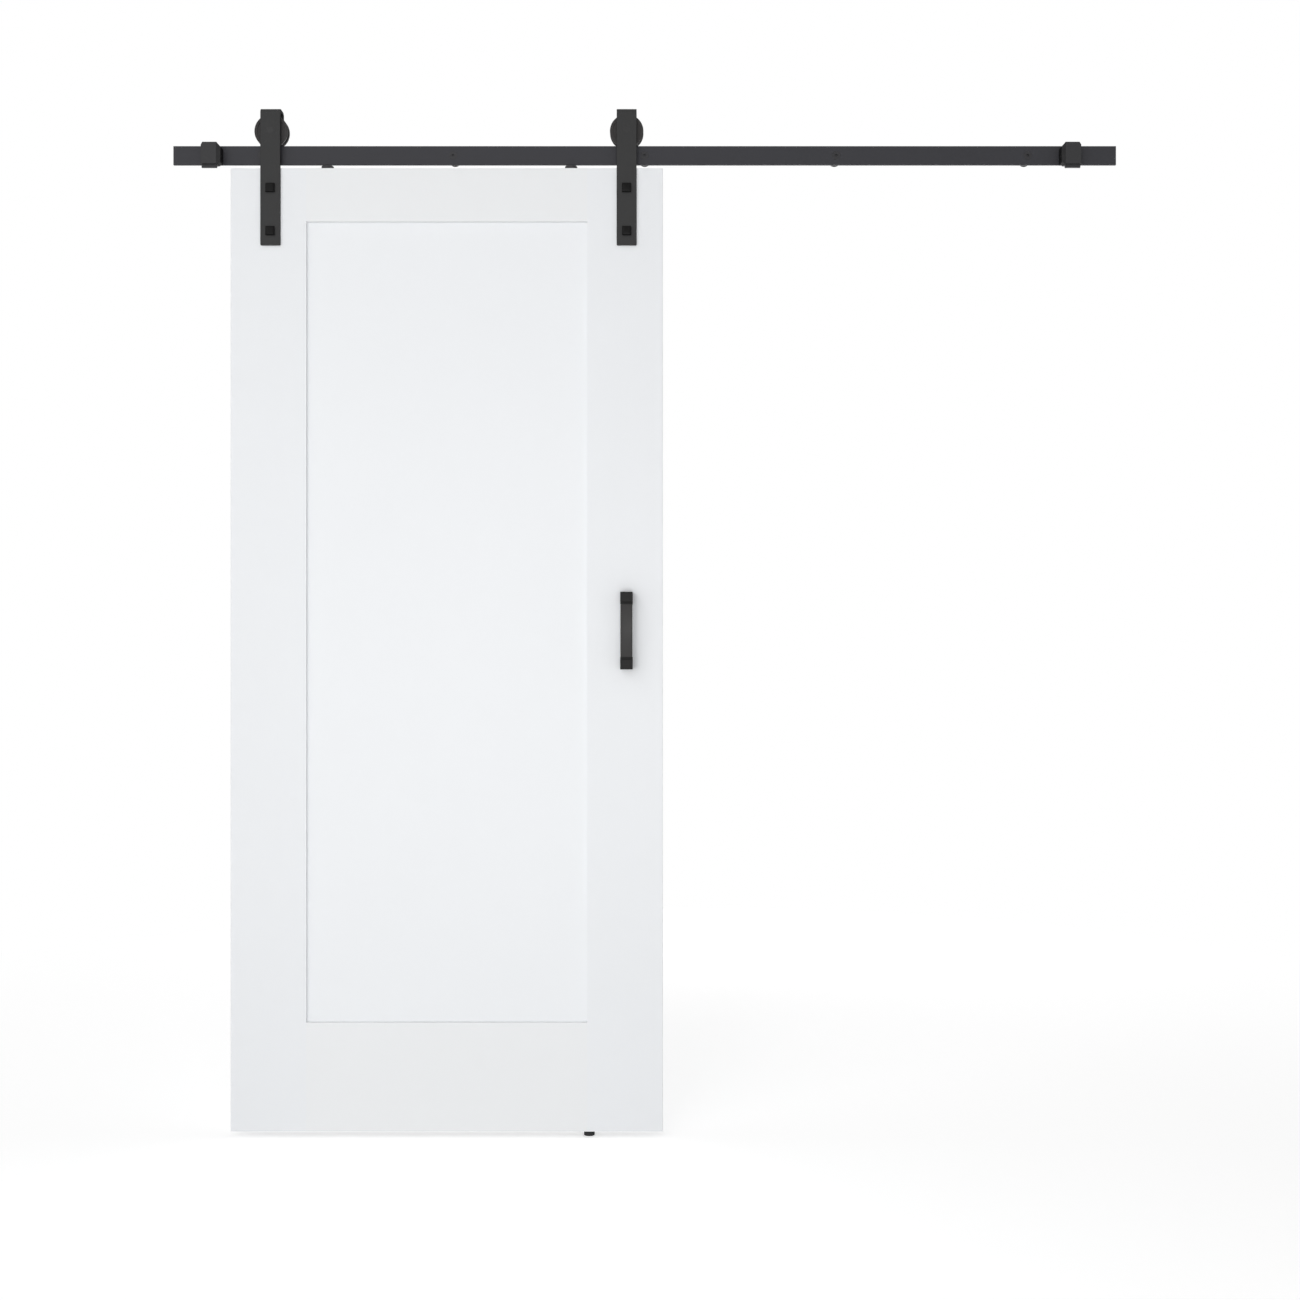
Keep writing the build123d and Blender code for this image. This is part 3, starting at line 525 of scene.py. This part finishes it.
def hex_nut():
    """A lock nut on Z from 0: a chamfered hexagon, with a rolled collar over its nylon ring."""
    flats = 17.0
    height = 8.0
    nut = bar(6, flats / math.sqrt(3), 0, height)
    crown = turn("crown", [(0, 0), (8.4, 0), (9.9, 0.8), (9.9, 7.1), (8.3, height), (0, height)], 60)
    carve(nut, crown, "INTERSECT")
    collar = [(0, 7.0), (7.5, 7.0), (7.5, 9.2), (7.2, 9.8), (6.7, 10.0), (5.9, 10.0), (5.6, 9.7), (0, 9.7)]
    carve(nut, turn("collar", collar, 48), "UNION")
    carve(nut, bar(40, 5.05, -1, 11))
    return nut


bolt_head = 0.019


def square_bolt():
    """A bolt on Z, its low square head below 0: a bevelled crown on the block, and a threaded shank."""
    block = 0.0044
    bpy.ops.object.select_all(action="DESELECT")
    bpy.ops.mesh.primitive_cube_add(size=1)
    head = bpy.context.object
    head.scale = (bolt_head, bolt_head, block)
    head.location = (0, 0, -block / 2)
    bpy.ops.object.transform_apply()
    bpy.ops.object.mode_set(mode="EDIT")
    bpy.ops.mesh.select_mode(type="FACE")
    bpy.ops.mesh.select_all(action="DESELECT")
    bpy.ops.object.mode_set(mode="OBJECT")
    for side in head.data.polygons:
        side.select = side.normal.z < -0.9
    bpy.ops.object.mode_set(mode="EDIT")
    for rise, narrow in ((0.0011, 0.84), (0.0005, 0.55)):
        bpy.ops.mesh.extrude_region_move(TRANSFORM_OT_translate={"value": (0, 0, -rise)})
        bpy.ops.transform.resize(value=(narrow, narrow, 1))
    bpy.ops.object.mode_set(mode="OBJECT")
    soften = head.modifiers.new("soften", "BEVEL")
    soften.width = 0.0006
    soften.segments = 3
    soften.limit_method = "ANGLE"
    soften.angle_limit = math.radians(8)
    bpy.ops.object.modifier_apply(modifier=soften.name)
    crest, core, end = 4.0, 3.4, 32
    pitch = 1.25
    outline = [(0, -1), (crest, -1), (crest, 14), (core, 14.6), (core, end - 0.6), (2.8, end), (0, end)]
    shank = turn("shank", outline, 32)
    thread(shank, core, crest, pitch, 15.6, 31.2, 31.2 - 0.01)
    carve(head, shank, "UNION")
    return head


def sleeve_nut():
    """A sleeve nut on Z: a blind threaded barrel below 0 and a domed flange with a hexagon socket above."""
    nut = turn(
        "sleeve_nut",
        [
            (0, -7.0), (4.05, -7.0), (4.05, -23.6), (4.4, -24.0), (5.6, -24.0), (6.0, -23.6), (6.0, 0),
            (10.0, 0), (10.0, 0.8), (9.7, 1.5), (9.0, 2.1), (7.8, 2.4), (6.4, 2.5), (0, 2.5),
        ],
        48,
    )
    drive = 5.0
    carve(nut, bar(6, drive / math.sqrt(3), 0.5, 3.5))
    return nut


axle_black = black_oxide("axle_black", rgb(0.025, 0.025, 0.0255), rgb(0.032, 0.0315, 0.032), 0.22)
bolt_black = black_oxide("bolt_black", rgb(0.0025, 0.0025, 0.0027), rgb(0.0052, 0.005, 0.0048), 0.1)
zinc = bright_zinc("bright_zinc")
ring_nylon = moulded_nylon("ring_nylon", rgb(0.62, 0.64, 0.66), rgb(0.74, 0.75, 0.76), 0.35)
for side in ("left", "right"):
    strap_low, strap_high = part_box(f"{side}_hanger_strap")
    hanger_x = (strap_low.x + strap_high.x) / 2
    strap_coat = strap_finish(
        f"{side}_strap_coat",
        rgb(0.026, 0.026, 0.0262),
        rgb(0.0325, 0.0325, 0.033),
        hanger_x,
        (strap_high.x - strap_low.x) / 2,
    )
    dress(strap_coat, f"{side}_hanger_strap")
    dress(axle_black, f"{side}_hanger_axle")
    dress(zinc, f"{side}_hanger_bushes")

    axle = middle(f"{side}_hanger_axle")
    nut_place = Vector((hanger_x, strap_high.y, axle.z))
    nut = copies(hex_nut(), f"{side}_lock_nut", [nut_place], ALONG_Y)
    fix(nut, zinc, "door", "zinc_steel", f"{side}_hanger_axle_nut")
    ring = [(5.06, 8.6), (5.06, 9.55), (5.3, 9.62), (5.58, 9.62), (5.58, 8.6), (5.06, 8.6)]
    lock_ring = copies(turn("lock_ring", ring, 48), f"{side}_lock_ring", [nut_place], ALONG_Y)
    fix(lock_ring, ring_nylon, "door", "roller_nylon")

    bolts_low, bolts_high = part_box(f"{side}_hanger_bolts")
    heights = (bolts_low.z + bolt_head / 2, bolts_high.z - bolt_head / 2)
    bolt_places = [Vector((hanger_x, strap_low.y, height)) for height in heights]
    bolts = copies(square_bolt(), f"{side}_square_bolts", bolt_places, ALONG_Y)
    fix(bolts, bolt_black, "door", "bolt_steel", f"{side}_hanger_bolts")

    door_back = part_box("door_left_stile")[1].y
    sleeve_places = [Vector((hanger_x, door_back, height)) for height in heights]
    sleeves = copies(sleeve_nut(), f"{side}_sleeve_nuts", sleeve_places, ALONG_Y)
    fix(sleeves, zinc, "door", "zinc_steel", f"{side}_hanger_sleeve_nuts")


# Wheels: black nylon moulded round a shielded ball bearing, with a groove that rides the rail.
# The races and balls are ground bearing steel, and the cage is snapped together from nylon.
def ground_steel(name, place):
    """Ground bearing steel, with fine grinding rings about the axle."""
    finish = Finish(name)
    across = (finish.x - place.x) ** 2 + (finish.z - place.z) ** 2
    rings = (across ** 0.5 * 30000).sine()
    smear = finish.noise(400, 3)
    return finish.close(
        base_color=finish.blend(smear, rgb(0.50, 0.50, 0.51), rgb(0.62, 0.62, 0.62)),
        roughness=0.16 + smear * 0.12,
        metallic=1.0,
        normal=finish.relief(rings, 0.000004, 0.3),
    )


cage_nylon = moulded_nylon("cage_nylon", rgb(0.62, 0.56, 0.42), rgb(0.72, 0.66, 0.52), 0.35)
for side in ("left", "right"):
    dark, light = rgb(0.0425, 0.0405, 0.0405), rgb(0.055, 0.0525, 0.0525)
    dress(moulded_nylon(f"{side}_wheel_nylon", dark, light, 0.06), f"{side}_wheel_rim")
    steel = ground_steel(f"{side}_bearing_steel", middle(f"{side}_wheel_rim"))
    dress(steel, *[f"{side}_bearing_{piece}" for piece in ("inner_race", "outer_race", "shields", "balls")])
    dress(cage_nylon, f"{side}_bearing_cage")


# Anti-jump discs: turned steel discs, powder coated, screwed on the door's top edge under the rail.
# Their wood screws have countersunk heads with a cross recess.
def cross_recess(size, width, low, high):
    """A cross-shaped cutter along Z, in millimetres, narrowing downwards."""
    arms = []
    for long, wide in ((size, width), (width, size)):
        bpy.ops.object.select_all(action="DESELECT")
        bpy.ops.mesh.primitive_cube_add(size=1)
        arm = bpy.context.object
        arm.scale = (long / 1000, wide / 1000, (high - low) / 1000)
        arm.location = (0, 0, (low + high) / 2000)
        bpy.ops.object.transform_apply()
        for corner in arm.data.vertices:
            if corner.co.z < (low + high) / 2000:
                corner.co.x *= 0.62
                corner.co.y *= 0.62
        arms.append(arm)
    carve(arms[0], arms[1], "UNION")
    return arms[0]


def wood_screw(head, crest, length, pitch):
    """A countersunk wood screw hanging down from 0, in millimetres, point upwards while it is made."""
    core = crest * 0.68
    sink = head - crest
    screw = turn(
        "wood_screw",
        [
            (0, 0), (head - 0.15, 0), (head, 0.15), (crest, sink), (crest, length * 0.3),
            (core, length * 0.3 + 0.5), (core, length - 2 * crest), (0, length),
        ],
        36,
    )
    thread(screw, core, crest, pitch, length * 0.3 + 1.6, length - 0.3, length - 2 * crest)
    return screw


disc_coat = powder_coat("disc_coat", rgb(0.03, 0.03, 0.032), rgb(0.04, 0.04, 0.042))
dress(disc_coat, "left_anti_jump_disc", "right_anti_jump_disc")
disc_screw = wood_screw(4.8, 2.5, 40.0, 2.2)
POINT_DOWN = (math.pi, 0.0, 0.0)
put(disc_screw, Vector((0, 0, 0)), POINT_DOWN)
carve(disc_screw, cross_recess(4.6, 1.2, -2.4, 0.6))
disc_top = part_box("left_anti_jump_disc")[1].z
disc_centres = [middle(f"{side}_anti_jump_disc").x for side in ("left", "right")]
disc_tops = [Vector((x, rail_centre.y, disc_top)) for x in disc_centres]
disc_screws = copies(disc_screw, "cross_disc_screws", disc_tops, (0.0, 0.0, 0.0))
fix(disc_screws, screw_black, "door", "bolt_steel", "anti_jump_screws")


# Pull handle: a flat steel bar tenoned into two stepped posts, powder coated as one; the posts get a darker
# copy of the coat as painted shade.
# It is screwed from behind the door through washers, and hands polish the middle of the grip.
def handled_coat(name, dark, light, grip, shine):
    """Powder coat that is a little glossier about the middle of the grip."""
    finish = Finish(name)
    cloud = finish.noise(20, 3)
    grain = finish.noise(900, 2)
    speck = finish.noise(2400, 1)
    handled = (1 - abs(finish.z - grip.z) / 0.06).kept() * cloud
    return finish.close(
        base_color=finish.blend(cloud, dark, light),
        roughness=0.54 + speck * 0.06 - handled * 0.22,
        normal=finish.relief(grain * 0.7 + speck * 0.3, 0.00005, 0.45),
        specular_ior_level=shine,
    )


grip = middle("handle_bar")
bar_coat = handled_coat("bar_coat", rgb(0.0215, 0.0202, 0.0198), rgb(0.027, 0.0256, 0.0252), grip, 0.24)
dress(bar_coat, "handle_bar")
# Painted shade: the posts' coat is a darker copy of the bar's, standing for the shade on the posts beside
# the grip.
post_coat_painted_shade = handled_coat("post_coat_painted_shade", rgb(0.0085, 0.0082, 0.008), rgb(0.0125, 0.012, 0.0118), grip, 0.17)
dress(post_coat_painted_shade, "handle_upper_post", "handle_lower_post")
dress(zinc, "handle_screws", "handle_washers")


# Floor guide: a powder-coated steel foot with a nylon roller on its spigot, in the door's bottom groove.
# One pan-headed screw goes down through the spigot into the floor.
guide_coat = turned_coat("guide_coat", rgb(0.018, 0.018, 0.019), rgb(0.026, 0.026, 0.027), "z", 0.28)
dress(guide_coat, "guide_base")
dress(moulded_nylon("roller_nylon", rgb(0.70, 0.70, 0.66), rgb(0.78, 0.78, 0.74), 0.35), "guide_roller")
floor_screw = turn(
    "floor_screw",
    [
        (0, -30.7), (3.6, -30.7), (4.6, -30.3), (5.1, -29.6), (5.25, -28.8), (5.25, -28.1), (2.5, -28.1),
        (2.5, -0.6), (1.6, 0.2), (1.6, 24.0), (0, 30.0),
    ],
    36,
)
thread(floor_screw, 1.6, 2.2, 2.0, 1.4, 29.7, 24.0)
put(floor_screw, Vector((0, 0, 0)), POINT_DOWN)
carve(floor_screw, cross_recess(5.2, 1.3, 28.6, 31.4))
foot = middle("guide_base")
floor_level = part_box("guide_base")[0].z
foot_place = Vector((foot.x, foot.y, floor_level))
floor_screw = copies(floor_screw, "cross_floor_screw", [foot_place], (0.0, 0.0, 0.0))
fix(floor_screw, zinc, "track", "zinc_steel", "guide_screw")


# Room: a white floor that keeps the door's shadow, white air behind, soft boxes in front and a fill behind.
# The camera stands level, a little right of the track's middle and half way up the door.
def seen_directly(tree):
    """1 for what the camera sees, straight, mirrored or through glass, and 0 for other light."""
    rays = tree.node("LightPath")
    mirrored = rays.output("Is Glossy Ray") + rays.output("Is Transmission Ray")
    return (rays.output("Is Camera Ray") + mirrored).kept()


bpy.ops.object.select_all(action="DESELECT")
bpy.ops.mesh.primitive_plane_add(size=30, location=(0, 0, floor_level - 0.0002))
floor = bpy.context.object
floor.name = "studio_floor"
floor_white = bpy.data.materials.new("floor_white")
paper = Tree(floor_white)
paper.nodes.remove(paper.nodes["Principled BSDF"])
directly = seen_directly(paper)
spot = paper.node("SeparateXYZ", {}, {0: paper.node("TexCoord").output("Object")})
reach = (spot.output(0) ** 2 + spot.output(1) ** 2) ** 0.5
lit = paper.node("BsdfDiffuse", {}, {"Color": rgb(0.9, 0.9, 0.9)})
lifted = paper.node("Emission", {}, {"Color": directly * 0.42, "Strength": 1.0})
near = paper.node("AddShader", {}, {0: lit, 1: lifted})
white = paper.node("Emission", {}, {"Color": rgb(1, 1, 1), "Strength": 1.0})
far = ((reach - 1.3) / 1.6).kept() * directly
whole = paper.node("MixShader", {}, {0: far, 1: near, 2: white})
paper.fill(paper.nodes["Material Output"], {"Surface": whole})
floor.data.materials.append(floor_white)

world = bpy.data.worlds.new("white_air")
bpy.context.scene.world = world
air = Tree(world)
colour = air.blend(seen_directly(air), rgb(0.42, 0.42, 0.42), rgb(1, 1, 1))
air.fill(air.nodes["Background"], {"Color": colour, "Strength": 1.0})


def soft_box(name, place, aim, width, height, watts):
    """A flat area lamp that faces a point and isn't seen itself."""
    bpy.ops.object.light_add(type="AREA", location=place)
    lamp = bpy.context.object
    lamp.name = name
    lamp.rotation_euler = (Vector(aim) - Vector(place)).to_track_quat("-Z", "Y").to_euler()
    lamp.data.shape = "RECTANGLE"
    lamp.data.size = width
    lamp.data.size_y = height
    lamp.data.energy = watts
    lamp.visible_camera = False


door_middle = Vector((-0.42, -0.03, -1.05))
soft_box("key_box", (-3.4, -6.0, 1.7), door_middle, 5.2, 5.2, 100)
soft_box("front_box", (-0.4, -4.2, -1.27), door_middle, 2.6, 1.6, 66)
soft_box("back_box", (0.4, 4.4, -1.1), door_middle, 4.0, 1.7, 84)

bpy.ops.object.camera_add(location=(0.0113, -3.338, -1.0493), rotation=(math.pi / 2, 0, 0))
camera = bpy.context.object
camera.data.lens = 43.07
camera.data.sensor_width = 36
bpy.context.scene.camera = camera
bpy.context.scene.view_settings.view_transform = "Standard"
